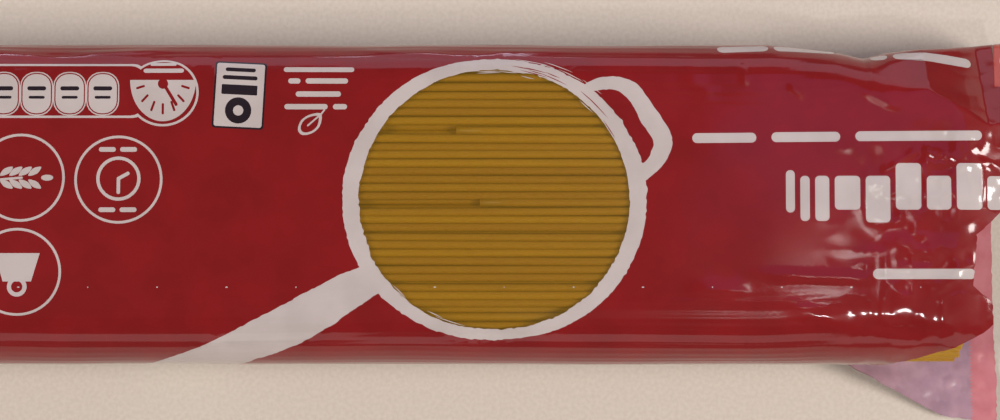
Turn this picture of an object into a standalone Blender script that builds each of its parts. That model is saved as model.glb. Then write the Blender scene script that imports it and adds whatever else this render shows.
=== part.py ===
"""Packet of long spaghetti lying on its back panel, its left end sealed and its right end torn open.

Frame: +X along the packet from the sealed end to the torn end, +Y across it, +Z up.
The origin is on the resting plane, under the middle of the bounding box.
All lengths are in metres.
"""
import bpy
from math import ceil, cos, pi, radians, sin

MM = 0.001

# Driving sizes of the packet
LENGTH = 300 * MM
BODY_WIDTH = 70 * MM
BODY_HEIGHT = 30 * MM
FILM = 0.6 * MM
FAR_RADIUS = 9 * MM
NEAR_TOP_RADIUS = 14 * MM
NEAR_BOTTOM_RADIUS = 13 * MM

# The sealed left end
FIN_DEPTH = 12 * MM
FIN_THICKNESS = 1.2 * MM
FIN_HEIGHT = 11 * MM
TAPER_START = 31 * MM
CAVITY_START = 15 * MM

# The spaghetti
PASTA_LENGTH = 255.5 * MM
PASTA_START = 31 * MM
LOOSE_FROM = 250 * MM
STRAND = 1.85 * MM
PASTA_CLEARANCE = 0.4 * MM
LOOSENED = 0.7 * MM
FLUTE_DEPTH = 0.45 * MM
END_UNEVENNESS = 1.2 * MM
RAGGED_TURNS = (2.3, 0.9)
SPARE_STRANDS = 6

# The torn right end, as distances along the packet from the sealed end
SLIT_START = 261.8 * MM
FACET_START = 266.5 * MM
FACET_END = 291.0 * MM
MOUTH_DROOP = 2.2 * MM
DROOP_START = 283 * MM

# The slit runs diagonally. Each lip: (ring along the packet, film from the middle of the front)
FRONT_LIP = [
    (261.8, 52.0), (267.1, 45.5), (272.7, 39.3), (280.2, 35.4), (288.1, 32.6), (297.8, 28.0), (300.0, 26.5),
]
FLARE_LIP = [
    (261.8, 52.0), (266.7, 50.4), (271.6, 48.8), (275.7, 47.3), (279.5, 45.4), (285.4, 42.4), (289.5, 41.0),
    (300.0, 39.5),
]
UNROLL_RUN = 28 * MM
UNROLL_POWER = 2.2
UNROLLED = 0.06

# The facet that folds down from the front to the far edge near the mouth
FACET_SLOPE = radians(32)
FACET_LENGTH = 20 * MM
FACET_EDGE_RADIUS = 3 * MM
FACET_SHARPENING = 2.2

# How far the far edge is drawn in where the film is pinched: (along the packet, drawn in by)
FAR_PINCH = [
    (245.0, 0.0), (258.7, 1.6), (262.0, 2.2), (265.7, 3.0), (269.3, 2.1), (270.8, 1.65), (279.5, 0.9),
    (287.0, 0.2), (300.0, -0.3),
]
PINCHED_STATIONS = [258.7 * MM, 262.0 * MM, 265.7 * MM, 269.3 * MM]

# The torn end edge: (film from the middle of the front, distance back from the right end)
TORN_EDGE = [
    (-90, 1.4), (-66, 1.2), (-50, 0.7), (-40, 0.9), (-30, 8.3), (-24, 8.3), (-21.7, 8.6), (-20, 10.4),
    (-17.9, 12.7), (-13, 12.3), (-7.3, 11.7), (-5.9, 10.1), (-2.6, 6.7), (1, 3.0), (4, 0.8), (9, 0.2),
    (20, 0.0), (42, 0.3), (66, 1.0), (90, 1.4),
]

BAG_RED = (0.22, 0.012, 0.014, 1.0)
PASTA_GOLD = (0.42, 0.20, 0.03, 1.0)


def smooth(t):
    """Ease from 0 to 1 with flat ends."""
    t = min(max(t, 0.0), 1.0)
    return t * t * (3 - 2 * t)


def ramp(x, low, high):
    return min(max((x - low) / (high - low), 0.0), 1.0)


def mix(a, b, t):
    return a + (b - a) * t


def between(table, x):
    """Read a value off a table of (x, value) rows, with straight lines between them."""
    x = min(max(x, table[0][0]), table[-1][0])
    for (low, start), (high, end) in zip(table, table[1:]):
        if x <= high:
            return mix(start, end, (x - low) / (high - low))
    return table[-1][1]


def bag_height(x):
    """Height of the bag's section at distance x from the sealed end."""
    if x <= FIN_DEPTH:
        return FIN_THICKNESS
    if x < TAPER_START:
        t = (x - FIN_DEPTH) / (TAPER_START - FIN_DEPTH)
        return mix(FIN_THICKNESS, BODY_HEIGHT, sin(t * pi / 2) ** 1.2)
    return BODY_HEIGHT - MOUTH_DROOP * smooth(ramp(x, DROOP_START, LENGTH))


def bag_base(x):
    """Height of the underside above the resting plane."""
    if x >= TAPER_START:
        return 0.0
    t = ramp(x, FIN_DEPTH, TAPER_START)
    return (FIN_HEIGHT - FIN_THICKNESS / 2) * (1 - t) ** 1.4


def half_girth():
    corners = FAR_RADIUS * 2 + NEAR_TOP_RADIUS + NEAR_BOTTOM_RADIUS
    return BODY_WIDTH + BODY_HEIGHT - (1 - pi / 4) * corners


def seam_offset(x):
    """Where the back seam lies, so that both ways round to the front's middle are equally long."""
    corners = NEAR_TOP_RADIUS + NEAR_BOTTOM_RADIUS - 2 * FAR_RADIUS
    return (1 - pi / 4) * corners / 2 * ramp(x, FIN_DEPTH, TAPER_START)


def half_width(x, radii, side):
    """Half of the section's width on the far side (+1) or the near side (-1)."""
    saved = (2 - pi / 2) * sum(radii)
    return (half_girth() + side * seam_offset(x) + saved - bag_height(x)) / 2


def far_path(x):
    """Segments (length, turn, steps) from the front's middle over the far edge to the back seam."""
    height = bag_height(x)
    radius = min(FAR_RADIUS, height / 2)
    reach = half_width(x, (radius, radius), 1) - between(FAR_PINCH, x / MM) * MM
    grown = ramp(x, FACET_START, FACET_END)
    edge_radius = mix(radius, FACET_EDGE_RADIUS, min(1.0, FACET_SHARPENING * smooth(grown)))
    slope = FACET_LENGTH * grown
    top = reach - edge_radius - slope * cos(FACET_SLOPE)
    drop = edge_radius + slope * sin(FACET_SLOPE)
    wall = max(height - drop - radius, 0.0)
    bottom = reach - radius - seam_offset(x)
    return [
        (top, 0.0, 4), (edge_radius * FACET_SLOPE, FACET_SLOPE, 3), (slope, 0.0, 2),
        (edge_radius * (pi / 2 - FACET_SLOPE), pi / 2 - FACET_SLOPE, 5), (wall, 0.0, 2),
        (radius * pi / 2, pi / 2, 6), (bottom, 0.0, 4),
    ]


def near_path(x):
    """Segments from the front's middle over the near edge to the back seam, as if there were no slit."""
    height = bag_height(x)
    top_radius = min(NEAR_TOP_RADIUS, height / 2)
    low_radius = min(NEAR_BOTTOM_RADIUS, height / 2)
    width = half_width(x, (top_radius, low_radius), -1)
    wall = max(height - top_radius - low_radius, 0.0)
    return [
        (width - top_radius, 0.0, 4), (top_radius * pi / 2, pi / 2, 6), (wall, 0.0, 1),
        (low_radius * pi / 2, pi / 2, 6), (width - low_radius + seam_offset(x), 0.0, 3),
    ]


def walk(segments, length, heading=0.0, place=(0.0, 0.0)):
    """Follow segments for a length of film: across, down and the heading there."""
    across, down = place
    for part, turn, _ in segments:
        step = min(part, length)
        if part > 0 and turn:
            radius = part / turn
            ahead = heading + step / radius
            across += radius * (sin(ahead) - sin(heading))
            down += radius * (cos(heading) - cos(ahead))
            heading = ahead
        else:
            across += step * cos(heading)
            down += step * sin(heading)
        length -= step
        if length <= 0:
            break
    return across, down, heading


def total(segments):
    return sum(part for part, _, _ in segments)


def place(x, side, across, down, heading, inset):
    """Point of the section, moved inwards by inset."""
    across -= inset * sin(heading)
    down += inset * cos(heading)
    return (x - LENGTH / 2, side * across, bag_base(x) + bag_height(x) - down)


def front_lip(x):
    """Film from the front's middle to the slit's upper lip."""
    return between(FRONT_LIP, x / MM) * MM


def flare_lip(x):
    """Film from the front's middle to the slit's lower lip."""
    return between(FLARE_LIP, x / MM) * MM


def unrolled(x):
    """How much of the near side's curve is left below the slit: 1 is all, 0 lies flat."""
    t = ramp(x, SLIT_START, SLIT_START + UNROLL_RUN)
    return UNROLLED + (1 - UNROLLED) * (1 - t) ** UNROLL_POWER


def flare_point(x, girth, inset):
    """A point between the back seam and the lower lip, girth being the film from the front's middle."""
    segments = near_path(x)
    keep = unrolled(x)
    upwards = [(part, -turn * keep, steps) for part, turn, steps in reversed(segments)]
    along = total(segments) - girth
    across, down, heading = walk(upwards, along)
    across += inset * sin(heading) - seam_offset(x)
    down -= inset * cos(heading)
    return (x - LENGTH / 2, -across, bag_base(x) - down)


def torn_end(girth):
    """Distance along the packet at which the film ends, for a signed place round its girth."""
    return LENGTH - between(TORN_EDGE, girth / MM) * MM


def columns_of(segments):
    """Lengths of film from the front's middle at which the section gets a point."""
    marks = [0.0]
    start = 0.0
    for part, _, steps in segments:
        marks += [start + part * (i + 1) / steps for i in range(steps)]
        start += part
    last = len(marks) - 1
    return [mix(mark, start * i / last, EVEN_SHARE) for i, mark in enumerate(marks)]


def stretched(x, girth):
    """Past the slit's start the rings spread out, so that the last one is the torn edge."""
    if x <= SLIT_START:
        return x
    share = (x - SLIT_START) / (LENGTH - SLIT_START)
    return mix(SLIT_START, torn_end(girth), share)


EVEN_SHARE = 0.12
LEAST_BELOW_SLIT = 6 * MM
NEAR_FRONT_STEPS = 4
NEAR_LIP_STEPS = 9
SEAM_STEPS = 3
FLARE_STEPS = 6
OPEN_RINGS = 12


def film_ring(x, inset):
    """One ring of film from the upper lip over the far edge and along the back to the lower lip."""
    near = near_path(x)
    top = near[0][0]
    lip = front_lip(x)
    marks = [top * i / NEAR_FRONT_STEPS for i in range(NEAR_FRONT_STEPS)]
    marks += [mix(top, lip, i / NEAR_LIP_STEPS) for i in range(NEAR_LIP_STEPS + 1)]
    ring = []
    for girth in reversed(marks[1:]):
        at = stretched(x, -girth)
        ring.append(place(at, -1, *walk(near_path(at), girth), inset))
    for girth in columns_of(far_path(x)):
        at = stretched(x, girth)
        ring.append(place(at, 1, *walk(far_path(at), girth * total(far_path(at)) / total(far_path(x))), inset))
    low = flare_lip(x)
    tangent = max(total(near) - near[4][0], low + LEAST_BELOW_SLIT)
    below = [mix(total(near), tangent, i / SEAM_STEPS) for i in range(1, SEAM_STEPS + 1)]
    below += [mix(tangent, low, i / FLARE_STEPS) for i in range(1, FLARE_STEPS + 1)]
    for girth in below:
        ring.append(flare_point(stretched(x, -girth), girth, inset))
    return ring


def film_stations():
    """Distances along the packet at which the film has a ring."""
    fin = [0.0, FIN_DEPTH / 2, FIN_DEPTH]
    taper = [mix(FIN_DEPTH, TAPER_START, t) for t in (0.08, 0.18, 0.34, 0.52, 0.72, 0.88, 1.0)]
    body = [mix(TAPER_START, LOOSE_FROM, t) for t in (0.25, 0.5, 0.75, 1.0)]
    mouth = [PINCHED_STATIONS[0], SLIT_START]
    open_end = [mix(SLIT_START, LENGTH, i / OPEN_RINGS) for i in range(1, OPEN_RINGS + 1)]
    return fin + taper + body + mouth + open_end


def mesh_object(name, points, faces, colour, roughness):
    mesh = bpy.data.meshes.new(name)
    mesh.from_pydata(points, [], faces)
    mesh.validate()
    material = bpy.data.materials.new(name + "_finish")
    material.use_nodes = True
    shader = material.node_tree.nodes["Principled BSDF"]
    shader.inputs["Base Color"].default_value = colour
    shader.inputs["Roughness"].default_value = roughness
    mesh.materials.append(material)
    made = bpy.data.objects.new(name, mesh)
    bpy.context.scene.collection.objects.link(made)
    mesh.shade_smooth()
    mesh.set_sharp_from_angle(angle=radians(40))
    return made


def film_bag():
    """The film as one shell: outer skin, inner skin, and the rim round the mouth and the slit."""
    stations = film_stations()
    inner_stations = [CAVITY_START] + [x for x in stations if x > CAVITY_START + 1 * MM]
    points = []

    def add_skin(places, inset):
        rows = []
        for x in places:
            ring = film_ring(x, inset)
            if x <= SLIT_START:
                ring = ring[:-1]
            first = len(points)
            points.extend(ring)
            row = list(range(first, len(points)))
            rows.append(row + [row[0]] if x <= SLIT_START else row)
        return rows

    outer = add_skin(stations, 0.0)
    inner = add_skin(inner_stations, FILM)
    faces = []
    for rows, flip in ((outer, True), (inner, False)):
        for here, ahead in zip(rows, rows[1:]):
            for j in range(len(here) - 1):
                quad = [here[j], here[j + 1], ahead[j + 1], ahead[j]]
                faces.append(quad[::-1] if flip else quad)
    faces.append(outer[0][:-1])
    faces.append(inner[0][:-1][::-1])
    for j in range(len(outer[-1]) - 1):
        faces.append([inner[-1][j], inner[-1][j + 1], outer[-1][j + 1], outer[-1][j]])
    slit = [x for x in stations if x >= SLIT_START]
    for column, flip in ((0, True), (-1, False)):
        lip = [(row[column], other[column]) for row, other in zip(outer[-len(slit):], inner[-len(slit):])]
        for (a, b), (c, d) in zip(lip, lip[1:]):
            quad = [a, c, d, b]
            faces.append(quad[::-1] if flip else quad)
    return mesh_object("film_bag", points, faces, BAG_RED, 0.25)


def bundle_ring(x, count, end_shift):
    """Outline of the bundle: a flute for each outer strand, with a furrow between neighbours."""
    far = far_path(x)
    near = near_path(x)
    girth = total(far) + total(near)
    loose = PASTA_CLEARANCE + LOOSENED * smooth(ramp(x, LOOSE_FROM, FACET_START))
    ring = []
    for i in range(2 * count):
        along = girth * i / (2 * count)
        inset = FILM + loose + (FLUTE_DEPTH if i % 2 else 0.0)
        if along <= total(far):
            point = place(x, 1, *walk(far, along), inset)
        else:
            point = place(x, -1, *walk(near, girth - along), inset)
        shift = end_shift * (sin(RAGGED_TURNS[0] * i) + sin(RAGGED_TURNS[1] * i + 1.0)) / 2
        ring.append((point[0] + shift, point[1], point[2]))
    return ring


def spaghetti_bundle():
    """The bundle as one solid out to its fluted outline, with uneven ends."""
    start = PASTA_START + END_UNEVENNESS
    end = PASTA_START + PASTA_LENGTH - END_UNEVENNESS
    count = ceil((2 * half_girth() - 2 * pi * (FILM + STRAND / 2)) / STRAND) - SPARE_STRANDS
    places = [start, LOOSE_FROM] + PINCHED_STATIONS
    places += [mix(PINCHED_STATIONS[-1], end, t) for t in (0.25, 0.5, 0.75, 1.0)]
    points = []
    rows = []
    for x in places:
        shift = END_UNEVENNESS if x in (start, end) else 0.0
        first = len(points)
        points.extend(bundle_ring(x, count, shift))
        rows.append(list(range(first, len(points))))
    faces = []
    for here, ahead in zip(rows, rows[1:]):
        for j in range(len(here)):
            k = (j + 1) % len(here)
            faces.append([here[j], ahead[j], ahead[k], here[k]])
    for row, flip in ((rows[0], False), (rows[-1], True)):
        middle = len(points)
        corners = [points[i] for i in row]
        points.append(tuple(sum(c[axis] for c in corners) / len(corners) for axis in range(3)))
        for j in range(len(row)):
            k = (j + 1) % len(row)
            face = [middle, row[j], row[k]]
            faces.append(face[::-1] if flip else face)
    return mesh_object("spaghetti_bundle", points, faces, PASTA_GOLD, 0.55)


def centre_on_origin(pieces):
    """Shift the packet so that its bounding box stands centred on the origin."""
    corners = [v.co for piece in pieces for v in piece.data.vertices]
    shift_x = (min(c.x for c in corners) + max(c.x for c in corners)) / 2
    shift_y = (min(c.y for c in corners) + max(c.y for c in corners)) / 2
    for corner in corners:
        corner.x -= shift_x
        corner.y -= shift_y
    return shift_x, shift_y


for old in list(bpy.data.objects):
    bpy.data.objects.remove(old, do_unlink=True)
bag = film_bag()
bundle = spaghetti_bundle()
moved = centre_on_origin([bag, bundle])
print("shifted by", [round(value / MM, 2) for value in moved], "mm")
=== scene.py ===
# %% [markdown]
# # A torn-open packet of spaghetti
# The real object is one sheet of printed plastic film, wrapped round a bundle of dry spaghetti.
# A machine seals the sheet along the back and across both ends. Here the left end is still shut
# and the right end has been torn open, with a slit that runs down the near side.
# The frame gives two plain solids, the bag and the bundle. This lesson dresses them:
# the film is drawn flat first, like the printer's sheet, and then wrapped round the packet.

# %% Load the frame
import bpy
import math
import numpy as np
from math import cos, pi, radians, sin
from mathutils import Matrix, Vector
from mathutils.geometry import delaunay_2d_cdt


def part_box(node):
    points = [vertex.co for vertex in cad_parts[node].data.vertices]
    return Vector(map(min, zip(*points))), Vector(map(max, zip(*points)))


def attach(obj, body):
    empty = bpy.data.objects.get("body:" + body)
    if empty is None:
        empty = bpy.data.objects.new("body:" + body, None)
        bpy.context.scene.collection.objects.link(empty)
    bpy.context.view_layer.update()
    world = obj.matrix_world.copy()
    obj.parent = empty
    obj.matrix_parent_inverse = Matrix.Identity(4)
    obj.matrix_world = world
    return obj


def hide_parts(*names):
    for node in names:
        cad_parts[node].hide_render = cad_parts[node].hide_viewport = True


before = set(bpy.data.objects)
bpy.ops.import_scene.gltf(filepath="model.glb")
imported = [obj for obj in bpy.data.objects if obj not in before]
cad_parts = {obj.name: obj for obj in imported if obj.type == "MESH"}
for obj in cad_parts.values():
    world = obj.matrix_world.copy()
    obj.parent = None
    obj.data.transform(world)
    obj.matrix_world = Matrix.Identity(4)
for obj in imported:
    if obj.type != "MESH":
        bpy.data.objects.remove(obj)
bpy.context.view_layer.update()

MM = 0.001
bag_low, bag_high = (np.array(corner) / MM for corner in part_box("film_bag"))
bundle_low, bundle_high = (np.array(corner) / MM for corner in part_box("spaghetti_bundle"))
middle_y = (bundle_low[1] + bundle_high[1]) / 2
print("bag in mm:", np.round(bag_high - bag_low, 1), "bundle in mm:", np.round(bundle_high - bundle_low, 1))

# %% [markdown]
# ## The camera
# The packet lies on a counter and is seen from straight above, by someone leaning over it from
# the near side. A camera that looks down has to be tilted a few degrees, or the near side and the
# far side would show equally. The lens is set from two lengths that are easy to picture:
# how far the camera is, and how wide a strip of counter it takes in.

# %% Place the camera
CAMERA_DISTANCE = 0.42
CAMERA_LEAN = radians(2.6)
STRIP_WIDTH = 0.2195
SENSOR = 36.0


def place_camera():
    aim = Vector(((bag_low[0] + 187.0) * MM, (middle_y - 1.4) * MM, 0.015))
    lens = bpy.data.cameras.new("view_from_above")
    lens.sensor_width = SENSOR
    lens.lens = SENSOR * CAMERA_DISTANCE / STRIP_WIDTH
    viewer = bpy.data.objects.new("view_from_above", lens)
    viewer.location = aim + Vector((0, -sin(CAMERA_LEAN), cos(CAMERA_LEAN))) * CAMERA_DISTANCE
    viewer.rotation_euler = (CAMERA_LEAN, 0, 0)
    bpy.context.scene.collection.objects.link(viewer)
    bpy.context.scene.camera = viewer
    return viewer


viewer = place_camera()
print("lens in mm:", round(viewer.data.lens, 1))

# %% [markdown]
# ## Small helpers
# Film is described by rules such as "this high here, that high there, with a soft change between".
# Three helpers say that: `ramp` measures how far along a stretch we are, `smooth` rounds the ends
# of that change, and `mix` blends two values. They take whole arrays, because the film has tens of
# thousands of points and numpy moves them all at once.

# %% Blend helpers


def ramp(x, low, high):
    return np.clip((x - low) / (high - low), 0.0, 1.0)


def smooth(t):
    t = np.clip(t, 0.0, 1.0)
    return t * t * (3 - 2 * t)


def mix(a, b, t):
    return a + (b - a) * t


def hump(x, middle, width):
    """A soft hump of height 1 around a middle."""
    return smooth(1 - np.abs(x - middle) / width)


print("half way along a soft change:", float(smooth(0.5)))

# %% [markdown]
# ## The section of the bag
# Film bends but doesn't stretch. So the bag is described by its girth: start at the middle of the
# front and walk over the edge, down the side and under to the back seam. Each part of the walk is
# a length of film and the angle that it turns through. Flat parts turn by nothing.
# At the sealed end the same girth is pressed flat, so the bag gets wider as it gets thinner.
# Near the mouth the far edge folds down in a flat facet, which ends in a sharp crease.

# %% Sizes of the bag in millimetres
BODY_WIDTH = 70.0
BODY_HEIGHT = 30.0
FAR_RADIUS = 9.0
NEAR_TOP_RADIUS = 14.0
NEAR_BOTTOM_RADIUS = 13.0
LENGTH = 300.0
FIN_DEPTH = 12.0
FIN_THICKNESS = 0.36
FIN_HEIGHT = 11.0
TAPER_START = 31.0
DROOP_START = 283.0
MOUTH_DROOP = 2.2
FACET_START = 266.5
FACET_END = 291.0
FACET_SLOPE = radians(32)
FACET_LENGTH = 20.0
FACET_EDGE_RADIUS = 3.0
FACET_CREASE_RADIUS = 1.0
# How far the far edge is drawn in where the film is pinched: (along the packet, drawn in by)
FAR_PINCH = [
    (245.0, 0.0), (258.7, 1.6), (262.0, 2.2), (265.7, 3.0), (269.3, 2.1), (270.8, 1.65), (279.5, 0.9),
    (287.0, 0.2), (300.0, -0.3),
]


def bag_height(u):
    t = ramp(u, FIN_DEPTH, TAPER_START)
    shut = mix(FIN_THICKNESS, BODY_HEIGHT, np.sin(t * pi / 2) ** 1.2)
    return shut - MOUTH_DROOP * smooth(ramp(u, DROOP_START, LENGTH))


def bag_base(u):
    return (FIN_HEIGHT - FIN_THICKNESS / 2) * (1 - ramp(u, FIN_DEPTH, TAPER_START)) ** 1.4


def half_girth():
    corners = FAR_RADIUS * 2 + NEAR_TOP_RADIUS + NEAR_BOTTOM_RADIUS
    return BODY_WIDTH + BODY_HEIGHT - (1 - pi / 4) * corners


def seam_offset(u):
    corners = NEAR_TOP_RADIUS + NEAR_BOTTOM_RADIUS - 2 * FAR_RADIUS
    return (1 - pi / 4) * corners / 2 * ramp(u, FIN_DEPTH, TAPER_START)


HALF_GIRTH = half_girth()
print("film needed to go round:", round(2 * HALF_GIRTH, 1), "mm")

# %% [markdown]
# ### Walking round the packet
# A section of the bag is a closed line of film. A tailor would walk round it with a tape: so far
# straight on, then so much of a bend, then straight on again. The far side and the near side each
# get such a list of lengths and bends, and following it gives the place of any spot on the sheet.
# Film can't stretch, so a walk by length keeps the print at its true size.

# %% The walk over the far side and over the near side


def half_width(u, top_radius, low_radius, side):
    saved = (2 - pi / 2) * (top_radius + low_radius)
    return (HALF_GIRTH + side * seam_offset(u) + saved - bag_height(u)) / 2


def far_parts(u):
    """(length of film, turn) from the middle of the front over the far edge to the back seam."""
    height = bag_height(u)
    radius = np.minimum(FAR_RADIUS, height / 2)
    reach = half_width(u, radius, radius, 1) - np.interp(u, *zip(*FAR_PINCH))
    grown = ramp(u, FACET_START, FACET_END)
    sharp = np.minimum(1.0, 2.2 * smooth(grown))
    crease = mix(radius, FACET_CREASE_RADIUS, sharp)
    edge = mix(radius, FACET_EDGE_RADIUS, sharp)
    slope = FACET_LENGTH * grown
    top = reach - crease * sin(FACET_SLOPE) - slope * cos(FACET_SLOPE) - edge * (1 - sin(FACET_SLOPE))
    drop = crease * (1 - cos(FACET_SLOPE)) + slope * sin(FACET_SLOPE) + edge * cos(FACET_SLOPE)
    wall = np.maximum(height - drop - radius, 0.0)
    bottom = reach - radius - seam_offset(u)
    rest = pi / 2 - FACET_SLOPE
    return [
        (top, 0), (crease * FACET_SLOPE, FACET_SLOPE), (slope, 0), (edge * rest, rest),
        (wall, 0), (radius * pi / 2, pi / 2), (bottom, 0),
    ]


def near_parts(u):
    """The same over the near edge, as if there were no slit."""
    height = bag_height(u)
    top_radius = np.minimum(NEAR_TOP_RADIUS, height / 2)
    low_radius = np.minimum(NEAR_BOTTOM_RADIUS, height / 2)
    width = half_width(u, top_radius, low_radius, -1)
    wall = np.maximum(height - top_radius - low_radius, 0.0)
    return [
        (width - top_radius, 0), (top_radius * pi / 2, pi / 2), (wall, 0),
        (low_radius * pi / 2, pi / 2), (width - low_radius + seam_offset(u), 0),
    ]


def girth_of(parts):
    return sum(length for length, _ in parts)


def follow(parts, along):
    """Walk a length of film along the parts: across, down and heading at each point."""
    across = np.zeros_like(along)
    down = np.zeros_like(along)
    heading = np.zeros_like(along)
    left = along.copy()
    last = len(parts) - 1
    for number, (length, turn) in enumerate(parts):
        step = left if number == last else np.minimum(length, left)
        bend = turn / np.maximum(length, 1e-6) + np.zeros_like(along)
        ahead = heading + step * bend
        straight = np.abs(bend) < 1e-7
        radius = 1 / np.where(straight, 1.0, bend)
        across += np.where(straight, step * np.cos(heading), radius * (np.sin(ahead) - np.sin(heading)))
        down += np.where(straight, step * np.sin(heading), radius * (np.cos(heading) - np.cos(ahead)))
        heading = ahead
        left = left - step
    return across, down, heading


middle_of_body = np.array([150.0])
print("girth at the middle:", girth_of(far_parts(middle_of_body)) + girth_of(near_parts(middle_of_body)))

# %% [markdown]
# ## The slit and the flare
# The tear starts low on the near side and climbs towards the front as it nears the mouth. Above it
# the front panel keeps its curve. Below it the film is free, so its curve unrolls and it lies
# out on the counter. `kept_curve` says how much of the bend is left. A tear follows no formula,
# so each lip is a short list of points: how far along the packet, how far round it.

# %% The two lips of the slit
SLIT_START = 261.8
SLIT_GIRTH = 52.0
FRONT_LIP = [
    (261.8, 52.0), (267.0, 45.5), (272.3, 39.3), (278.1, 35.4), (283.7, 32.6), (290.0, 28.0), (292.0, 26.5),
]
FLARE_LIP = [
    (261.8, 52.0), (266.6, 50.4), (271.4, 48.8), (275.4, 47.3), (279.2, 45.4), (285.0, 42.4), (289.0, 41.0),
    (299.5, 39.5),
]
UNROLL_RUN = 28.0


def front_lip(u):
    return np.interp(u, *zip(*FRONT_LIP))


def flare_lip(u):
    return np.interp(u, *zip(*FLARE_LIP))


def kept_curve(u):
    return 0.06 + 0.94 * (1 - ramp(u, SLIT_START, SLIT_START + UNROLL_RUN)) ** 2.2


SEAL_SHRINK = 0.985


def crimp(u):
    """Fine ridges that the sealing jaws press across the fin."""
    return 0.16 * np.sin(2 * pi * u / 1.5) * smooth(ramp(u, 0.2, 1.2)) * (1 - smooth(ramp(u, 10.4, 12.0)))


def shut_bag(u, v, inset):
    """Across and height of the closed bag at girth v, in millimetres below its surface."""
    f_across, f_down, f_heading = follow(far_parts(u), np.abs(v))
    n_across, n_down, n_heading = follow(near_parts(u), np.abs(v))
    top = bag_base(u) + bag_height(u)
    y = np.where(v >= 0, f_across - inset * np.sin(f_heading), -n_across + inset * np.sin(n_heading))
    z = np.where(v >= 0, top - f_down - inset * np.cos(f_heading), top - n_down - inset * np.cos(n_heading))
    return y, z


SPREAD = -44.0  # the loose film beyond here springs back a little
LAP_LIFT = 0.14  # the far half passes over the near half at the back seam, two films up


def wrap(u, v, inset):
    """From the flat sheet to the packet: u runs along it, v round it from the middle of the front."""
    lap = LAP_LIFT * smooth(ramp(v, HALF_GIRTH - 12.0, HALF_GIRTH - 10.0))
    y, z = shut_bag(u, v, inset + lap)
    near = near_parts(u)
    free = [(length, -turn * kept_curve(u)) for length, turn in reversed(near)]
    across, down, heading = follow(free, girth_of(near) - np.abs(v))
    flare = (v < 0) & (np.abs(v) > (front_lip(u) + flare_lip(u)) / 2)
    y = np.where(flare, seam_offset(u) - across - inset * np.sin(heading), y)
    z = np.where(flare, bag_base(u) - down + inset * np.cos(heading), z)
    y = np.maximum(y, SPREAD + 0.88 * (y - SPREAD))
    shrunk = mix(SEAL_SHRINK, 1.0, smooth(ramp(u, FIN_DEPTH, TAPER_START)))
    return np.stack([u, y * shrunk, z + crimp(u)], axis=-1)


print("a point on the near shoulder:", np.round(wrap(np.array([150.0]), np.array([-30.0]), 0.0), 1))

# %% [markdown]
# ## Dents and creases
# Plastic film never lies perfectly flat. It shows long soft waves where it spans the pasta, faint
# ribs where it is pulled over strands, pleats that fan out of the seal, and sharp crumples where
# hands have torn it. Each is a small height added to the film. Sharp crests come from an absolute
# value, which has a kink: that kink is what catches the light in a real crease.

# %% Relief of the film


def clouds(u, v, size, seed):
    """Random soft hills about one size across, between -1 and 1."""
    table = np.random.default_rng(seed).uniform(-1, 1, (97, 97))
    a, b = u / size + 40.0, v / size + 40.0
    i, j = np.floor(a).astype(int), np.floor(b).astype(int)
    s, t = smooth(a - i), smooth(b - j)
    low = mix(table[i % 97, j % 97], table[(i + 1) % 97, j % 97], s)
    high = mix(table[i % 97, (j + 1) % 97], table[(i + 1) % 97, (j + 1) % 97], s)
    return mix(low, high, t)


print("soft hills at three spots:", np.round(clouds(np.array([10.0, 50.0, 90.0]), 0.0, 13.0, 2), 2))

# %% [markdown]
# The sharpest creases are listed one by one, since each has its own cause: fingers have pulled on the torn
# end, and the shoulder has been pressed. Each is given by its start (u, v), its end (u, v), its
# height and its width, all in millimetres. In section a crease is a small tent with flat sides,
# because stiff film bends along a line and stays straight on both sides of it.

# %% Set the creases
CREASES = [
    ((240.0, -15.6), (268.0, -16.6), 0.16, 1.15),
    ((226.0, -18.6), (240.0, -19.2), 0.20, 1.6),
    ((247.0, -22.5), (262.0, -26.5), 0.22, 1.5),
    ((238.0, 30.4), (239.4, 24.6), 0.26, 0.8),
    ((226.0, 33.0), (231.0, 20.0), 0.10, 1.6),
    ((248.0, 24.6), (252.0, 22.2), 0.22, 0.8),
    ((263.0, 24.0), (272.0, 19.5), 0.16, 1.1),
    ((268.0, 6.0), (276.5, 11.0), 0.26, 0.8),
    ((276.5, 11.0), (280.5, 9.6), 0.36, 0.7),
    ((280.5, 9.6), (286.5, 9.2), 0.36, 0.7),
    ((286.5, 9.2), (294.0, 7.0), 0.36, 0.7),
    ((279.0, 3.0), (290.0, 10.4), 0.20, 0.8),
    ((286.0, 13.0), (290.0, 2.0), 0.24, 0.9),
    ((274.0, -14.0), (283.0, -19.0), 0.24, 1.4),
    ((262.0, -26.0), (284.0, -29.0), -0.20, 1.6),
    ((270.0, -9.0), (281.0, -12.5), 0.20, 1.2),
    ((118.0, 34.0), (92.0, 31.0), 0.22, 1.1),
    ((92.0, 31.0), (74.0, 33.5), 0.22, 1.0),
    ((156.0, 33.6), (178.0, 32.0), 0.20, 1.0),
    ((178.0, 32.0), (200.0, 33.0), 0.18, 1.1),
]


def crease_height(u, v, start, end, height, width):
    """A ridge with a kinked crest along a straight line, fading out at both ends."""
    along = np.subtract(end, start)
    span = np.hypot(*along)
    along = along / span
    t = (u - start[0]) * along[0] + (v - start[1]) * along[1]
    off = (v - start[1]) * along[0] - (u - start[0]) * along[1]
    fade = smooth(np.minimum(t, span - t) / (span * 0.4) + 0.15)
    return height * fade * np.maximum(1 - np.abs(off) / (1.6 * width), 0)


print("hand-set creases:", len(CREASES))

# %% [markdown]
# All of these add up to one height. It is limited below, where the strands hold the film up, and
# above, so that the film keeps inside its true outer shape. The loose film at the tear and at the
# seal may dip further. Round the back, where the packet lies on it, the film is smooth.

# %% Add up the relief of the film


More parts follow.
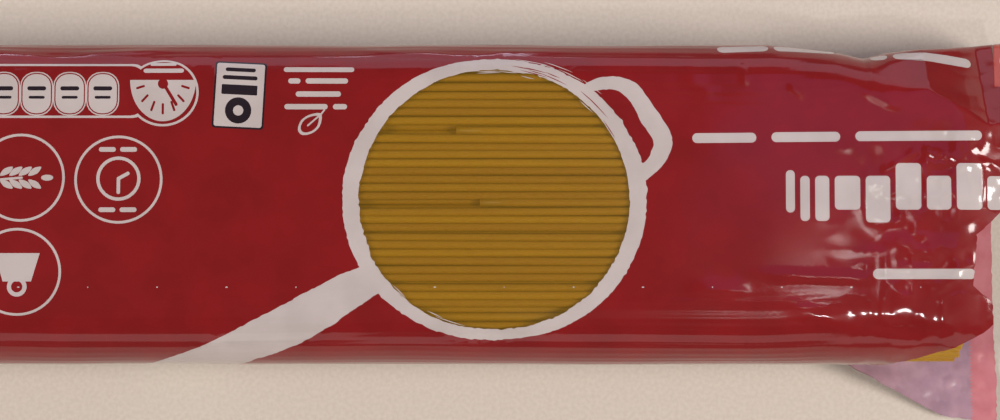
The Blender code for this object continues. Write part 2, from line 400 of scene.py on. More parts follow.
def relief(u, v):
    """Height of the film above its smooth shape."""
    girth = np.abs(v)
    free = smooth(ramp(u, 262, 268)) * (v < 0) * smooth(ramp(girth, 36, 39))
    upper = 1 - smooth(ramp(girth, 58, 66))
    waves = 0.10 * clouds(u, v, 31.0, 1) + 0.05 * clouds(u, v, 13.0, 2)
    shoulder = smooth(ramp(girth, 15, 24)) * upper
    dents = 0.11 * clouds(u * 0.6, v, 8.0, 8) * shoulder
    ribs = 0.035 * np.sin(2 * pi * v / 1.93 + 2.5 * clouds(u, v * 0.2, 24.0, 3))
    ribs = ribs * shoulder * (0.6 + 0.4 * clouds(u, v, 19.0, 4)) * (1 - smooth(ramp(u, 252, 266)))
    seal = hump(u, 17.0, 16.0)
    pleats = 0.55 * seal * (np.abs(np.sin(v / 5.3 + 1.2 * clouds(u, v, 15.0, 5))) - 0.5)
    torn = smooth(ramp(u, 250, 288))
    crumples = 0.42 * (0.5 - np.abs(clouds(u, v, 7.0, 6))) + 0.24 * (0.5 - np.abs(clouds(u, v, 3.1, 7)))
    calm = 1 - 0.7 * smooth(ramp(v, 12, 20)) * smooth(ramp(u, 258, 268))
    crumples = crumples * mix(torn * upper, 0.95, free) * calm
    height = (waves + ribs + dents) * upper + crumples + pleats * smooth(ramp(u, 9, 15))
    for crease in CREASES:
        height = height + crease_height(u, v, *crease)
    loose = np.maximum(smooth(ramp(u, 284, 294)), np.maximum(1 - smooth(ramp(u, 28, 34)), free))
    height = np.clip(height, mix(-0.22, -0.8, loose), 0.30) - 0.30
    return height * (1 - smooth(ramp(girth, 54, 64)))


SKIN = 0.07
BASE_INSET = 0.06


def film_point(u, v, depth):
    """Place of the film on the packet, depth being 0 on the outside and SKIN on the inside."""
    return wrap(u, v, BASE_INSET + depth - relief(u, v))


places = np.meshgrid(np.arange(40.0, 290.0), np.arange(-40.0, 40.0))
print("deepest dent in mm:", round(float(relief(*places).min()), 2))

# %% [markdown]
# ## Outline of the flat sheet
# The sheet is cut like a printer's web: straight along the back, pinked in a zigzag where the
# sealing machine chops it, and torn at the other end. A tear is a chain of short runs with small
# nicks, so its outline is a few points joined by a slightly ragged line.
# The far half of the sheet runs on past the back seam, which gives the lapped seam of a real bag.

# %% Draw the outline
LAP = 5.0
PINK_PITCH, PINK_DEPTH = 2.0, 0.8
TORN_EDGE = [
    (-92, 1.4), (-66, 1.2), (-50, 0.7), (-39, 0.9), (-30, 8.3), (-24, 8.3), (-21.7, 8.6), (-20, 10.4),
    (-17.9, 12.7), (-13, 12.3), (-7.3, 11.7), (-5.9, 10.1), (-2.6, 6.7), (1, 3.0), (4, 0.8), (9, 0.2),
    (20, 0.1), (42, 0.3), (66, 1.0), (96, 1.4),
]
torn_girths, torn_backs = np.array(TORN_EDGE).T


def torn_end(v):
    """How far along the sheet the film reaches, for each place round it."""
    nicks = 0.22 * clouds(v, v, 0.9, 11) + 0.25 * clouds(v, v, 2.4, 12)
    back = np.interp(v, torn_girths, torn_backs) + np.abs(nicks)
    return np.minimum(LENGTH - back, LENGTH - 0.05)


def sheet_outline():
    top = HALF_GIRTH + LAP
    teeth = np.arange(-HALF_GIRTH, top, PINK_PITCH / 2)
    pinked = np.stack([PINK_DEPTH * (np.arange(len(teeth)) % 2), teeth], axis=-1)
    along = np.arange(3.0, 296.0, 3.0)
    back_edge = np.stack([along, np.full_like(along, top)], axis=-1)
    front_corner, flare_corner = FRONT_LIP[-1][1], FLARE_LIP[-1][1]
    front_girths = np.arange(top, -front_corner, -0.6)
    front_end = np.stack([torn_end(front_girths), front_girths], axis=-1)
    upper = np.arange(FRONT_LIP[-1][0] - 1.0, SLIT_START + 0.5, -0.7)
    upper_lip = np.stack([upper, 0.15 * clouds(upper, upper, 1.3, 13) - front_lip(upper)], axis=-1)
    slit_tip = [[SLIT_START, -SLIT_GIRTH]]
    lower = np.arange(SLIT_START + 0.7, LENGTH - 2.0, 0.7)
    lower_lip = np.stack([lower, 0.25 * clouds(lower, lower, 2.2, 14) - 0.15 - flare_lip(lower)], axis=-1)
    flare_girths = np.arange(-flare_corner, -HALF_GIRTH, -0.8)
    flare_end = np.stack([torn_end(flare_girths), flare_girths], axis=-1)
    seam_edge = np.stack([along, np.full_like(along, -HALF_GIRTH)], axis=-1)[::-1]
    torn_side = np.concatenate([front_end, upper_lip, slit_tip, lower_lip, flare_end])
    return np.concatenate([pinked, back_edge, torn_side, seam_edge])


outline = sheet_outline()
print("points in the sheet's outline:", len(outline))

# %% [markdown]
# ## The print
# Print is drawn in layers, like a printer's inks: each shape covers what lies under it. A shape is
# only an ink and an outline, so a ring is a disc of white with a smaller disc of another ink on it.
# The words of the real pack are left out. Plain bars, blocks and simple signs keep their weight.

# %% Drawing tools
RED, WHITE, CLEAR, DARK, ORANGE, PALE = range(6)
INK_NAMES = ["red", "white", "clear", "dark", "orange", "pale"]
prints = []


def draw(ink, points):
    prints.append((ink, np.asarray(points, float)))


def oval(u, v, width, height, steps=48, start=0.0, turn=2 * pi):
    angles = start + turn * np.arange(steps) / steps
    return np.stack([u + width / 2 * np.cos(angles), v + height / 2 * np.sin(angles)], axis=-1)


def block(u, v, width, height, corner, lean=0.0):
    """A box with round corners, centred at (u, v) and turned by lean."""
    steps = 5
    points = []
    for quarter, (side, up) in enumerate(((1, 1), (-1, 1), (-1, -1), (1, -1))):
        for i in range(steps + 1):
            angle = quarter * pi / 2 + i / steps * pi / 2
            a = side * (width / 2 - corner) + corner * cos(angle)
            b = up * (height / 2 - corner) + corner * sin(angle)
            points.append((u + a * cos(lean) - b * sin(lean), v + a * sin(lean) + b * cos(lean)))
    return points


def bars(ink, start, v, lengths, height, gap=1.2, lean=0.0):
    """A row of round-ended bars in place of a line of words."""
    u = start
    for length in lengths:
        middle = u + length / 2
        draw(ink, block(middle, v + (middle - start) * lean, length, height, height * 0.49, lean))
        u += length + gap


def line(ink, points, width):
    """A drawn line of even width with round ends."""
    points = np.asarray(points, float)
    for a, b in zip(points, points[1:]):
        span = b - a
        middle = (a + b) / 2
        length = np.hypot(*span) + width
        draw(ink, block(*middle, length, width, width * 0.49, math.atan2(span[1], span[0])))


def curve(points, steps=8, closed=True):
    """A smooth curve through hand-set points."""
    p = np.asarray(points, float)
    t = (np.arange(steps) / steps)[:, None]
    pieces = []
    count = len(p) if closed else len(p) - 1
    for i in range(count):
        around = i + np.arange(-1, 3)
        around = around % len(p) if closed else np.clip(around, 0, len(p) - 1)
        a, b, c, d = p[around]
        bend = (2 * a - 5 * b + 4 * c - d) * t ** 2
        swing = (3 * b - a - 3 * c + d) * t ** 3
        pieces.append(0.5 * (2 * b + (c - a) * t + bend + swing))
    return np.concatenate(pieces)


def brushed(points, roughness, seed):
    """Give an outline the rough edge of a dry brush."""
    ahead = np.roll(points, -1, axis=0) - np.roll(points, 1, axis=0)
    ahead /= np.maximum(np.hypot(*ahead.T), 1e-6)[:, None]
    aside = np.stack([ahead[:, 1], -ahead[:, 0]], axis=-1)
    steps = np.hypot(*(np.roll(points, -1, axis=0) - points).T)
    along = np.cumsum(steps)
    wobble = 0.6 * clouds(along, along * 0, 2.6, seed) + 0.5 * clouds(along, along * 0, 0.7, seed + 1)
    patchy = 0.35 + 0.65 * smooth(0.5 + clouds(along, along * 0, 9.0, seed + 2))
    return points + aside * (roughness * wobble * patchy)[:, None]


print("inks:", INK_NAMES)

# %% [markdown]
# ### The pan
# The biggest sign is a pan drawn in white with a broad dry brush. Its inside is left unprinted, so
# the film is a clear window there and the spaghetti shows. A dry brush leaves a ragged edge and a
# few loose hairs of paint beside the stroke, so those are drawn too.

# %% Draw the pan
PAN_U, PAN_V = 185.8, 0.1
RIM = (64.6, 61.0)
WINDOW = (57.4, 55.8)
HANDLE = [
    (160.0, -13.0), (156.7, -14.4), (152.7, -16.0), (147.9, -18.5), (141.1, -22.0), (132.0, -27.2),
    (123.4, -32.2), (118.5, -35.0), (114.5, -37.8), (109.5, -43.0), (106.5, -50.0), (108.5, -57.0),
    (117.0, -60.0), (124.0, -56.0), (127.5, -46.0), (133.2, -38.4), (136.9, -36.0), (141.1, -33.4),
    (145.2, -31.0),
    (148.8, -28.6), (152.0, -26.2), (157.8, -22.0), (160.7, -20.0), (166.0, -17.0),
]
LOOP = [
    (203.0, 22.6), (205.4, 24.9), (208.6, 26.2), (212.6, 26.2), (216.0, 24.8), (218.2, 22.0), (221.0, 18.0),
    (223.4, 13.8), (223.3, 10.8), (221.4, 7.4), (217.0, 4.2), (213.5, 8.0), (207.0, 17.0),
]
LOOP_HOLE = [
    (206.3, 22.5), (208.6, 23.5), (212.0, 23.3), (214.6, 21.0), (217.0, 16.8), (219.4, 12.8),
    (219.4, 10.8), (217.2, 7.8), (214.5, 13.0), (211.3, 17.7),
]


def paint_hairs(width, height, first, last, count, seed, ink):
    """Thin hairs of paint that follow the pan's rim between two angles."""
    rng = np.random.default_rng(seed)
    for _ in range(count):
        start = rng.uniform(first, last)
        reach = rng.uniform(0.10, 0.24)
        off = rng.uniform(-0.1, 1.1)
        angles = start + reach * np.linspace(0, 1, 14)
        thick = 0.17 * np.sin(np.linspace(0, pi, 14)) + 0.02
        outer = [(width / 2 + off) * np.cos(angles), (height / 2 + off) * np.sin(angles)]
        inner = [(width / 2 + off - thick) * np.cos(angles), (height / 2 + off - thick) * np.sin(angles)]
        hair = np.concatenate([np.stack(outer, -1), np.stack(inner, -1)[::-1]])
        draw(ink, hair + [PAN_U, PAN_V])


draw(WHITE, brushed(curve(HANDLE, 16), 0.30, 21))
draw(WHITE, brushed(curve(LOOP, 12), 0.26, 24))
draw(RED, brushed(curve(LOOP_HOLE, 12), 0.26, 27))
draw(WHITE, brushed(oval(PAN_U, PAN_V, *RIM, 620), 0.34, 30))
draw(CLEAR, brushed(oval(PAN_U, PAN_V, *WINDOW, 560), 0.34, 33))
paint_hairs(*RIM, radians(30), radians(78), 7, 41, WHITE)
paint_hairs(WINDOW[0] + 0.6, WINDOW[1] + 0.6, radians(10), radians(85), 9, 42, RED)
paint_hairs(WINDOW[0] - 1.6, WINDOW[1] - 1.6, radians(20), radians(100), 8, 43, WHITE)
paint_hairs(WINDOW[0] - 1.4, WINDOW[1] - 1.4, radians(215), radians(262), 7, 44, WHITE)
print("shapes so far:", len(prints))

# %% [markdown]
# ### Signs on the left
# Three round badges, a strip of facts with pills and a dial, a white label with a dark edge, and a
# leaf. Their words become signs that anyone can draw: a clock for the cooking time, an ear of
# wheat, a kitchen weight, and bars for lines of text.

# %% Draw the badges


def badge(u, v, across=18.7, line_width=0.55):
    draw(WHITE, oval(u, v, across, across, 72))
    draw(RED, oval(u, v, across - 2 * line_width, across - 2 * line_width, 72))


def clock(u, v):
    draw(WHITE, oval(u, v, 9.4, 9.4, 40))
    draw(RED, oval(u, v, 8.0, 8.0, 40))
    line(WHITE, [(u, v - 2.9), (u, v), (u + 2.0, v + 1.1)], 0.75)


def wheat_ear(u, v):
    line(WHITE, [(u - 6.0, v - 0.6), (u + 1.0, v)], 0.5)
    for step in range(4):
        for side in (-1, 1):
            middle = u - 2.4 + 2.0 * step
            draw(WHITE, curve([
                (middle - 1.2, v + side * 0.4), (middle - 0.3, v + side * 1.9),
                (middle + 1.5, v + side * 2.3), (middle + 0.7, v + side * 0.9),
            ], 5))
    draw(WHITE, oval(u + 6.4, v, 2.6, 1.3, 14))


def kitchen_weight(u, v):
    draw(WHITE, oval(u, v - 2.9, 4.2, 4.2, 26))
    draw(RED, oval(u, v - 2.9, 2.4, 2.4, 22))
    draw(WHITE, [(u - 3.0, v - 1.8), (u - 4.8, v + 4.2), (u + 4.8, v + 4.2), (u + 3.0, v - 1.8)])


badge(106.1, 4.4)
badge(85.4, 4.8)
badge(84.8, -15.2)
clock(106.1, 4.6)
wheat_ear(84.6, 4.8)
kitchen_weight(84.8, -15.4)
for arc_end in (-1, 1):
    bars(WHITE, 101.9, 4.4 + arc_end * 6.4, [3.6, 3.6], 1.0, 0.9)
print("shapes so far:", len(prints))

# %% [markdown]
# The strip of facts is an outlined band of pills that ends in a round bay for the dial. Its outline
# is drawn twice, a white shape and a slightly smaller red one on top, which leaves an even line.

# %% Draw the strip of facts
STRIP_TOP, STRIP_LOW, STRIP_END = 29.3, 17.5, 115.0


def strip_frame(grow, ink):
    """The strip's frame ends in a round bay for the dial."""
    low, high = STRIP_LOW - grow, STRIP_TOP + grow
    middle = (60.0 + STRIP_END) / 2 - 3
    draw(ink, block(middle, (low + high) / 2, STRIP_END - 60.0 + 2 * grow, high - low, 3.0))
    draw(ink, oval(115.4, 23.0, 15.2 + 2 * grow, 14.6 + 2 * grow, 64))


strip_frame(0.0, WHITE)
strip_frame(-0.5, RED)
for pill in range(6):
    pill_u = 102.6 - 7.0 * pill
    draw(WHITE, block(pill_u, 22.7, 7.0, 9.4, 3.1))
    draw(RED, block(pill_u, 22.7, 6.5, 8.9, 2.9))
    draw(WHITE, block(pill_u, 22.7, 6.0, 8.4, 2.7))
    bars(DARK, pill_u - 2.0, 23.8, [4.0], 0.9)
    bars(DARK, pill_u - 1.7, 21.9, [3.4], 0.6)
draw(WHITE, np.concatenate([oval(115.4, 25.6, 14.0, 17.6, 40, pi, pi), [(122.4, 25.6)]]))
for tick in range(7):
    swing = pi + (tick + 0.5) * pi / 7
    reach_in, reach_out = (4.2, 5.0), (5.6, 6.9)
    line(RED, [(115.4 + w * cos(swing), 25.4 + h * sin(swing)) for w, h in (reach_in, reach_out)], 0.5)
line(RED, [(115.4, 25.0), (118.2, 20.4)], 0.7)
draw(RED, oval(115.4, 24.8, 2.2, 2.2, 24))
bars(WHITE, 111.2, 27.7, [8.6], 1.0)
bars(WHITE, 112.6, 29.2, [5.6], 0.7)
print("shapes so far:", len(prints))

# %% [markdown]
# The label is a white card set a little askew, so every shape on it is placed in the card's own
# directions and then turned. The leaf is one closed curve with a vein, and the words beside it
# are rounded bars of the words' lengths.

# %% Draw the label, the leaf and the small words
LABEL_U, LABEL_V, LABEL_LEAN = 131.6, 22.5, -0.05


def on_label(ink, du, dv, width, height, corner):
    draw(ink, block(LABEL_U + du + dv * 0.05, LABEL_V + dv, width, height, corner, LABEL_LEAN))


on_label(DARK, 0, 0, 11.0, 14.6, 0.7)
on_label(WHITE, 0, 0, 10.2, 13.8, 0.5)
on_label(DARK, 0, 1.0, 7.6, 2.1, 0.2)
draw(DARK, oval(LABEL_U - 0.2, LABEL_V - 3.4, 5.6, 5.6, 32))
draw(WHITE, oval(LABEL_U - 0.2, LABEL_V - 3.4, 2.2, 2.2, 20))
on_label(DARK, 0, 3.6, 7.4, 0.9, 0.4)
on_label(DARK, 0, 5.4, 6.4, 0.9, 0.4)

LEAF = [
    (149.0, 18.4), (148.8, 15.9), (147.2, 14.3), (145.0, 13.9), (144.1, 15.1), (144.8, 17.0), (146.6, 18.2),
]
leaf_outline = curve(LEAF, 7)
draw(WHITE, leaf_outline)
leaf_middle = leaf_outline.mean(axis=0)
draw(RED, leaf_middle + (leaf_outline - leaf_middle) * 0.76)
line(WHITE, [(146.2, 15.9), (149.0, 18.3), (149.7, 19.2)], 0.36)
for row_v, start, words in (
    (28.0, 141.0, [15.0]), (25.4, 142.0, [2.6, 9.0]), (22.6, 143.6, [9.6]), (19.9, 141.2, [9.2, 3.0]),
):
    bars(WHITE, start, row_v, words, 1.15, 1.1)
print("shapes so far:", len(prints))

# %% [markdown]
# ### Bars on the right
# The pack's title is tall white print. A row of plain blocks in three heights keeps its
# weight, with bars above and below it. The side panel carries a row of its own and a field of
# orange, which only shows near the mouth, where that side is folded up towards the eye.

# %% Draw the right-hand print
TITLE_LOW, TITLE_HIGH = -2.0, 5.2


def title_blocks():
    """Plain blocks, some reaching above or below the row."""
    u = 247.6
    for width, low, high in (
        (1.9, 0.6, 1.2), (2.0, 2.4, 0.0), (3.0, 2.4, 0.0), (5.4, 0.0, 0.0), (5.2, 2.7, 0.0),
        (5.4, 0.0, 2.7), (5.2, 0.0, 0.0), (5.6, 0.0, 2.7), (4.6, 0.0, 0.0),
    ):
        bottom, top = TITLE_LOW - low, TITLE_HIGH + high
        draw(WHITE, block(u + width / 2, (bottom + top) / 2, width, top - bottom, 0.9))
        u += width + 1.15


title_blocks()
bars(WHITE, 227.8, 13.2, [13.6], 2.1, lean=0.008)
bars(WHITE, 244.6, 13.4, [14.6], 2.1, lean=0.008)
bars(WHITE, 262.4, 13.6, [27.0], 2.1, lean=0.008)
bars(WHITE, 265.9, -15.6, [21.8], 2.2)
bars(WHITE, 233.6, 34.2, [11.0, 13.4], 2.8, lean=0.05)
bars(WHITE, 266.8, 33.6, [3.6, 17.6], 2.5, lean=-0.05)
draw(ORANGE, [(293.8, 26.6), (296.4, 48.0), (299.9, 48.0), (299.9, 26.6)])
draw(WHITE, oval(298.6, 33.4, 5.2, 5.2, 28))
# A row of pinholes runs along the front. Each is drawn as a tiny dot of white ink: a painted glint where
# light catches the puckered film round the hole.
PINHOLE_GLINT_PITCH = 14.68
for hole in range(-4, 13):
    draw(WHITE, oval(99.8 + PINHOLE_GLINT_PITCH * hole, -18.4, 0.26 + 0.14 * (hole % 3), 0.32, 8))
draw(PALE, block(140.0, 69.0, 170.0, 34.0, 2.0))
draw(PALE, block(150.0, -73.0, 240.0, 30.0, 2.0))
for row in range(7):
    bars(RED, 62.0, 56.0 + 3.6 * row, [46.0, 38.0, 44.0], 1.0, 4.0)
print("shapes in the print:", len(prints))

# %% [markdown]
# ## Cut the sheet into triangles
# The sheet needs small triangles where it is creased or torn and big ones where it lies flat.
# So a net of points is laid over it, close in some places and wide in others, and the outlines of
# the print are added as edges. A constrained triangulation joins them all: no triangle then lies
# half in one ink and half in another, which gives the print a perfectly sharp edge.

# %% Lay the net of points


def net(u_low, u_high, u_step, v_low, v_high, v_step):
    us = np.arange(u_low, u_high, u_step)
    vs = np.arange(v_low, v_high, v_step)
    grid = np.stack(np.meshgrid(us, vs, indexing="ij"), axis=-1).reshape(-1, 2)
    grid[:, 1] += 0.5 * v_step * ((grid[:, 0] / u_step).astype(int) % 2)
    return grid


def net_points():
    edge = HALF_GIRTH + LAP
    return np.concatenate([
        net(1.0, 36.0, 1.15, -66.0, 66.0, 1.15),
        net(1.0, 36.0, 2.4, 67.0, edge, 2.4),
        net(1.0, 36.0, 2.4, -edge, -67.0, 2.4),
        net(37.0, 238.0, 2.6, -16.0, 17.0, 2.6),
        net(37.0, 238.0, 2.6, 18.0, 45.0, 0.55),
        net(37.0, 238.0, 2.6, -45.0, -17.0, 0.55),
        net(37.0, 238.0, 4.0, 46.0, edge, 2.6),
        net(37.0, 238.0, 4.0, -edge, -46.0, 2.6),
        net(238.6, 299.8, 0.8, -66.0, 50.0, 0.8),
        net(238.6, 299.8, 2.4, 51.0, edge, 2.4),
        net(238.6, 299.8, 2.4, -edge, -67.0, 2.4),
    ])


points = net_points()
print("points in the net:", len(points))

# %% [markdown]
# ### Which ink is each triangle?
# A triangle belongs to a shape if its middle lies inside the outline. To find that out, draw a line
# from the middle and count how often it crosses the outline: an odd count means inside.

# %% Triangulate the sheet and give each triangle its ink


def inside(spots, polygon):
    """Which spots lie inside a closed outline."""
    found = np.zeros(len(spots), bool)
    low, high = polygon.min(axis=0), polygon.max(axis=0)
    close = np.where(((spots > low) & (spots < high)).all(axis=1))[0]
    x, y = spots[close].T
    crossings = np.zeros(len(close), int)
    for a, b in zip(polygon, np.roll(polygon, -1, axis=0)):
        spans = (a[1] > y) != (b[1] > y)
        level = b[1] - a[1] if b[1] != a[1] else 1.0
        crossings += spans & (x < a[0] + (y - a[1]) / level * (b[0] - a[0]))
    found[close] = crossings % 2 == 1
    return found


def triangulate():
    corners = [tuple(p) for p in points[inside(points, outline)]]
    edges = []
    for polygon in [outline] + [shape for _, shape in prints]:
        first = len(corners)
        corners.extend(tuple(p) for p in polygon)
        count = len(polygon)
        edges.extend((first + i, first + (i + 1) % count) for i in range(count))
    spots, _, faces, _, _, _ = delaunay_2d_cdt([Vector(c) for c in corners], edges, [], 0, 1e-5)
    return np.array([tuple(s) for s in spots]), np.array([f for f in faces if len(f) == 3])


spots, triangles = triangulate()
middles = spots[triangles].mean(axis=1)
kept = inside(middles, outline)
triangles, middles = triangles[kept], middles[kept]
corner_a, corner_b, corner_c = (spots[triangles[:, i]] for i in range(3))
ahead, aside = corner_b - corner_a, corner_c - corner_a
facing_down = ahead[:, 0] * aside[:, 1] - ahead[:, 1] * aside[:, 0] < 0
triangles[facing_down] = triangles[facing_down][:, ::-1]
inks = np.full(len(triangles), RED)
for ink, shape in prints:
    inks[inside(middles, shape)] = ink
print("triangles in the sheet:", len(triangles), "of them clear:", int((inks == CLEAR).sum()))

# %% [markdown]
# ## Materials
# The red is ink printed on clear film, so it is a dull colour under a clear glossy coat. A very
# fine unevenness in the coat is what breaks up reflections in real film.
# White ink is the same film with a paler dye. From the inside the ink is seen through the back of
# the sheet, so it is paler and pinker there, and greyer where only thin ink lies.

# %% Material tools


def new_material(name):
    material = bpy.data.materials.new(name)
    material.use_nodes = True
    shader = material.node_tree.nodes["Principled BSDF"]
    return material, material.node_tree, shader


def paint(tree, shader, colours, size, detail=3.0, spread=(0.35, 0.65)):
    """A slightly uneven colour: noise drives a ramp from one tone to another."""
    place = tree.nodes.new("ShaderNodeTexCoord")
    noise = tree.nodes.new("ShaderNodeTexNoise")
    noise.inputs["Scale"].default_value = 1 / (size * MM)
    noise.inputs["Detail"].default_value = detail
    tones = tree.nodes.new("ShaderNodeValToRGB")
    for stop, where, colour in zip(tones.color_ramp.elements, spread, colours):
        stop.position = where
        stop.color = (*colour, 1)
    tree.links.new(place.outputs["Object"], noise.inputs["Vector"])
    tree.links.new(noise.outputs["Fac"], tones.inputs["Fac"])
    tree.links.new(tones.outputs["Color"], shader.inputs["Base Color"])
    return place, noise, tones


def uneven(tree, shader, place, size, height, detail=2.0):
    """Tiny hills that break up reflections."""
    noise = tree.nodes.new("ShaderNodeTexNoise")
    noise.inputs["Scale"].default_value = 1 / (size * MM)
    noise.inputs["Detail"].default_value = detail
    bump = tree.nodes.new("ShaderNodeBump")
    bump.inputs["Distance"].default_value = height * MM
    bump.inputs["Strength"].default_value = 1.0
    tree.links.new(place.outputs["Object"], noise.inputs["Vector"])
    tree.links.new(noise.outputs["Fac"], bump.inputs["Height"])
    tree.links.new(bump.outputs["Normal"], shader.inputs["Normal"])
    return bump


def film_material(name, dark_tone, light_tone, roughness=0.45, coat_roughness=0.11, size=9.0):
    material, tree, shader = new_material(name)
    place, _, _ = paint(tree, shader, (dark_tone, light_tone), size)
    uneven(tree, shader, place, 2.2, 0.035)
    shader.inputs["Roughness"].default_value = roughness
    shader.inputs["Specular IOR Level"].default_value = 0.12
    shader.inputs["Coat Weight"].default_value = 1.0
    shader.inputs["Coat Roughness"].default_value = coat_roughness
    shader.inputs["Coat IOR"].default_value = 1.5
    return material


INK_MATERIALS = {
    RED: film_material("red_ink_on_film", (0.185, 0.0040, 0.0048), (0.215, 0.0050, 0.0060)),
    WHITE: film_material("white_ink_on_film", (0.47, 0.395, 0.375), (0.52, 0.44, 0.42)),
    DARK: film_material("dark_ink_on_film", (0.012, 0.006, 0.010), (0.016, 0.009, 0.014)),
    ORANGE: film_material("orange_ink_on_film", (0.42, 0.060, 0.040), (0.47, 0.075, 0.052)),
    PALE: film_material("pale_back_panel", (0.48, 0.41, 0.38), (0.52, 0.45, 0.42)),
}
PINK_INSIDE = film_material("film_inside_pink", (0.50, 0.15, 0.165), (0.56, 0.19, 0.21), 0.40, 0.2, 4.0)
MAUVE_INSIDE = film_material("film_inside_mauve", (0.34, 0.20, 0.25), (0.42, 0.25, 0.30), 0.40, 0.2, 4.0)
WHITE_INSIDE = film_material("film_inside_pale", (0.50, 0.40, 0.38), (0.55, 0.44, 0.42), 0.40, 0.2, 4.0)
print("inks mixed:", len(INK_MATERIALS))

# %% [markdown]
# The window is the same film without ink. Clear film shows what lies behind it, and mirrors a
# little of the light, more so at a shallow angle. So it is a mix of see-through and glossy. The
# Layer Weight node tells how slanted the film is, and a fifth power of that is close to the real
# law of reflection. It treats both skins of the film alike, so light gets in and out again. A
# twentieth part is flour dust from the strands, which softens the dark gaps between them.

# %% Clear film


def clear_film():
    material = bpy.data.materials.new("clear_film")
    material.use_nodes = True
    tree = material.node_tree
    tree.nodes.clear()
    place = tree.nodes.new("ShaderNodeTexCoord")
    noise = tree.nodes.new("ShaderNodeTexNoise")
    noise.inputs["Scale"].default_value = 1 / (3.0 * MM)
    bump = tree.nodes.new("ShaderNodeBump")
    bump.inputs["Distance"].default_value = 0.04 * MM
    through = tree.nodes.new("ShaderNodeBsdfTransparent")
    through.inputs["Color"].default_value = (0.965, 0.94, 0.82, 1)
    dust = tree.nodes.new("ShaderNodeBsdfDiffuse")
    dust.inputs["Color"].default_value = (0.80, 0.50, 0.04, 1)
    dusty = tree.nodes.new("ShaderNodeMixShader")
    dusty.inputs["Fac"].default_value = 0.05
    mirror = tree.nodes.new("ShaderNodeBsdfGlossy")
    mirror.inputs["Roughness"].default_value = 0.16
    slant = tree.nodes.new("ShaderNodeLayerWeight")
    steep = tree.nodes.new("ShaderNodeMath")
    steep.operation = "POWER"
    steep.inputs[1].default_value = 5.0
    share = tree.nodes.new("ShaderNodeMath")
    share.operation = "MULTIPLY_ADD"
    share.inputs[1].default_value = 0.6
    share.inputs[2].default_value = 0.035
    blend = tree.nodes.new("ShaderNodeMixShader")
    end = tree.nodes.new("ShaderNodeOutputMaterial")
    tree.links.new(place.outputs["Object"], noise.inputs["Vector"])
    tree.links.new(noise.outputs["Fac"], bump.inputs["Height"])
    tree.links.new(bump.outputs["Normal"], mirror.inputs["Normal"])
    tree.links.new(slant.outputs["Facing"], steep.inputs[0])
    tree.links.new(steep.outputs["Value"], share.inputs[0])
    tree.links.new(share.outputs["Value"], blend.inputs["Fac"])
    tree.links.new(through.outputs["BSDF"], dusty.inputs[1])
    tree.links.new(dust.outputs["BSDF"], dusty.inputs[2])
    tree.links.new(dusty.outputs["Shader"], blend.inputs[1])
    tree.links.new(mirror.outputs["BSDF"], blend.inputs[2])
    tree.links.new(blend.outputs["Shader"], end.inputs["Surface"])
    return material


CLEAR_FILM = clear_film()
print("clear film:", CLEAR_FILM.name)

# %% [markdown]
# ## Wrap the film round the packet
# Every point of the flat sheet now goes to its place on the packet, once for the outside and once
# for the inside, 0.07 mm deeper. The two skins are joined along the cut and torn edges, as in a
# real sheet. The direction that the film faces is worked out from the rules themselves, so
# the shading stays smooth even where the triangles are long and thin.

# %% Wrap both skins
NUDGE = 0.12


def film_normals(u, v):
    """The way the film faces, from how its place changes with a small nudge."""
    along = film_point(u + NUDGE, v, 0.0) - film_point(u - NUDGE, v, 0.0)
    around = film_point(u, v + NUDGE, 0.0) - film_point(u, v - NUDGE, 0.0)
    facing = np.cross(along, around)
    return facing / np.maximum(np.linalg.norm(facing, axis=1), 1e-9)[:, None]


sheet_u, sheet_v = spots.T
outer_skin = film_point(sheet_u, sheet_v, 0.0)
inner_skin = film_point(sheet_u, sheet_v, SKIN)
facing = film_normals(sheet_u, sheet_v)
shift = np.array([bag_low[0], middle_y, 0.0])
print("film reaches in mm:", np.round(outer_skin.min(axis=0), 2), np.round(outer_skin.max(axis=0), 2))

# %% [markdown]
# ### Two pieces from one sheet
# Printed film and clear film need different materials, and each piece is one mesh. Both are cut from
# the same triangles, so they meet point to point round the window. Each has two skins, and the printed
# film also has a rim, because real film has a cut edge that catches the light.

# %% Make the printed film and the clear window


def cut_edges(faces):
    """Edges that belong to one triangle only: the outline of the sheet."""
    sides = np.concatenate([faces[:, [0, 1]], faces[:, [1, 2]], faces[:, [2, 0]]])
    keys = np.sort(sides, axis=1)
    _, first, count = np.unique(keys, axis=0, return_index=True, return_counts=True)
    return sides[first[count == 1]]


def mesh_piece(name, vertices, faces, normals, materials, which):
    mesh = bpy.data.meshes.new(name)
    mesh.from_pydata(((vertices + shift) * MM).tolist(), [], [list(f) for f in faces])
    for material in materials:
        mesh.materials.append(material)
    mesh.polygons.foreach_set("material_index", np.asarray(which, np.int32))
    mesh.polygons.foreach_set("use_smooth", np.ones(len(faces), bool))
    if normals is not None:
        mesh.normals_split_custom_set_from_vertices(normals.tolist())
    mesh.update()
    piece = bpy.data.objects.new(name, mesh)
    bpy.context.scene.collection.objects.link(piece)
    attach(piece, "root")
    return piece


def film_piece(name, faces, outer_slots, inner_slots, materials, rim):
    """Both skins of part of the sheet, with a rim along the edges given."""
    used, packed = np.unique(faces, return_inverse=True)
    faces = packed.reshape(-1, 3)
    place = np.full(len(spots), -1)
    place[used] = np.arange(len(used))
    depth = len(used)
    quads = [(a, a + depth, b + depth, b) for a, b in place[rim]]
    vertices = np.concatenate([outer_skin[used], inner_skin[used]])
    normals = np.concatenate([facing[used], -facing[used]])
    all_faces = faces.tolist() + (faces[:, ::-1] + depth).tolist() + quads
    slots = list(outer_slots) + list(inner_slots) + [0] * len(quads)
    return mesh_piece(name, vertices, all_faces, normals, materials, slots)


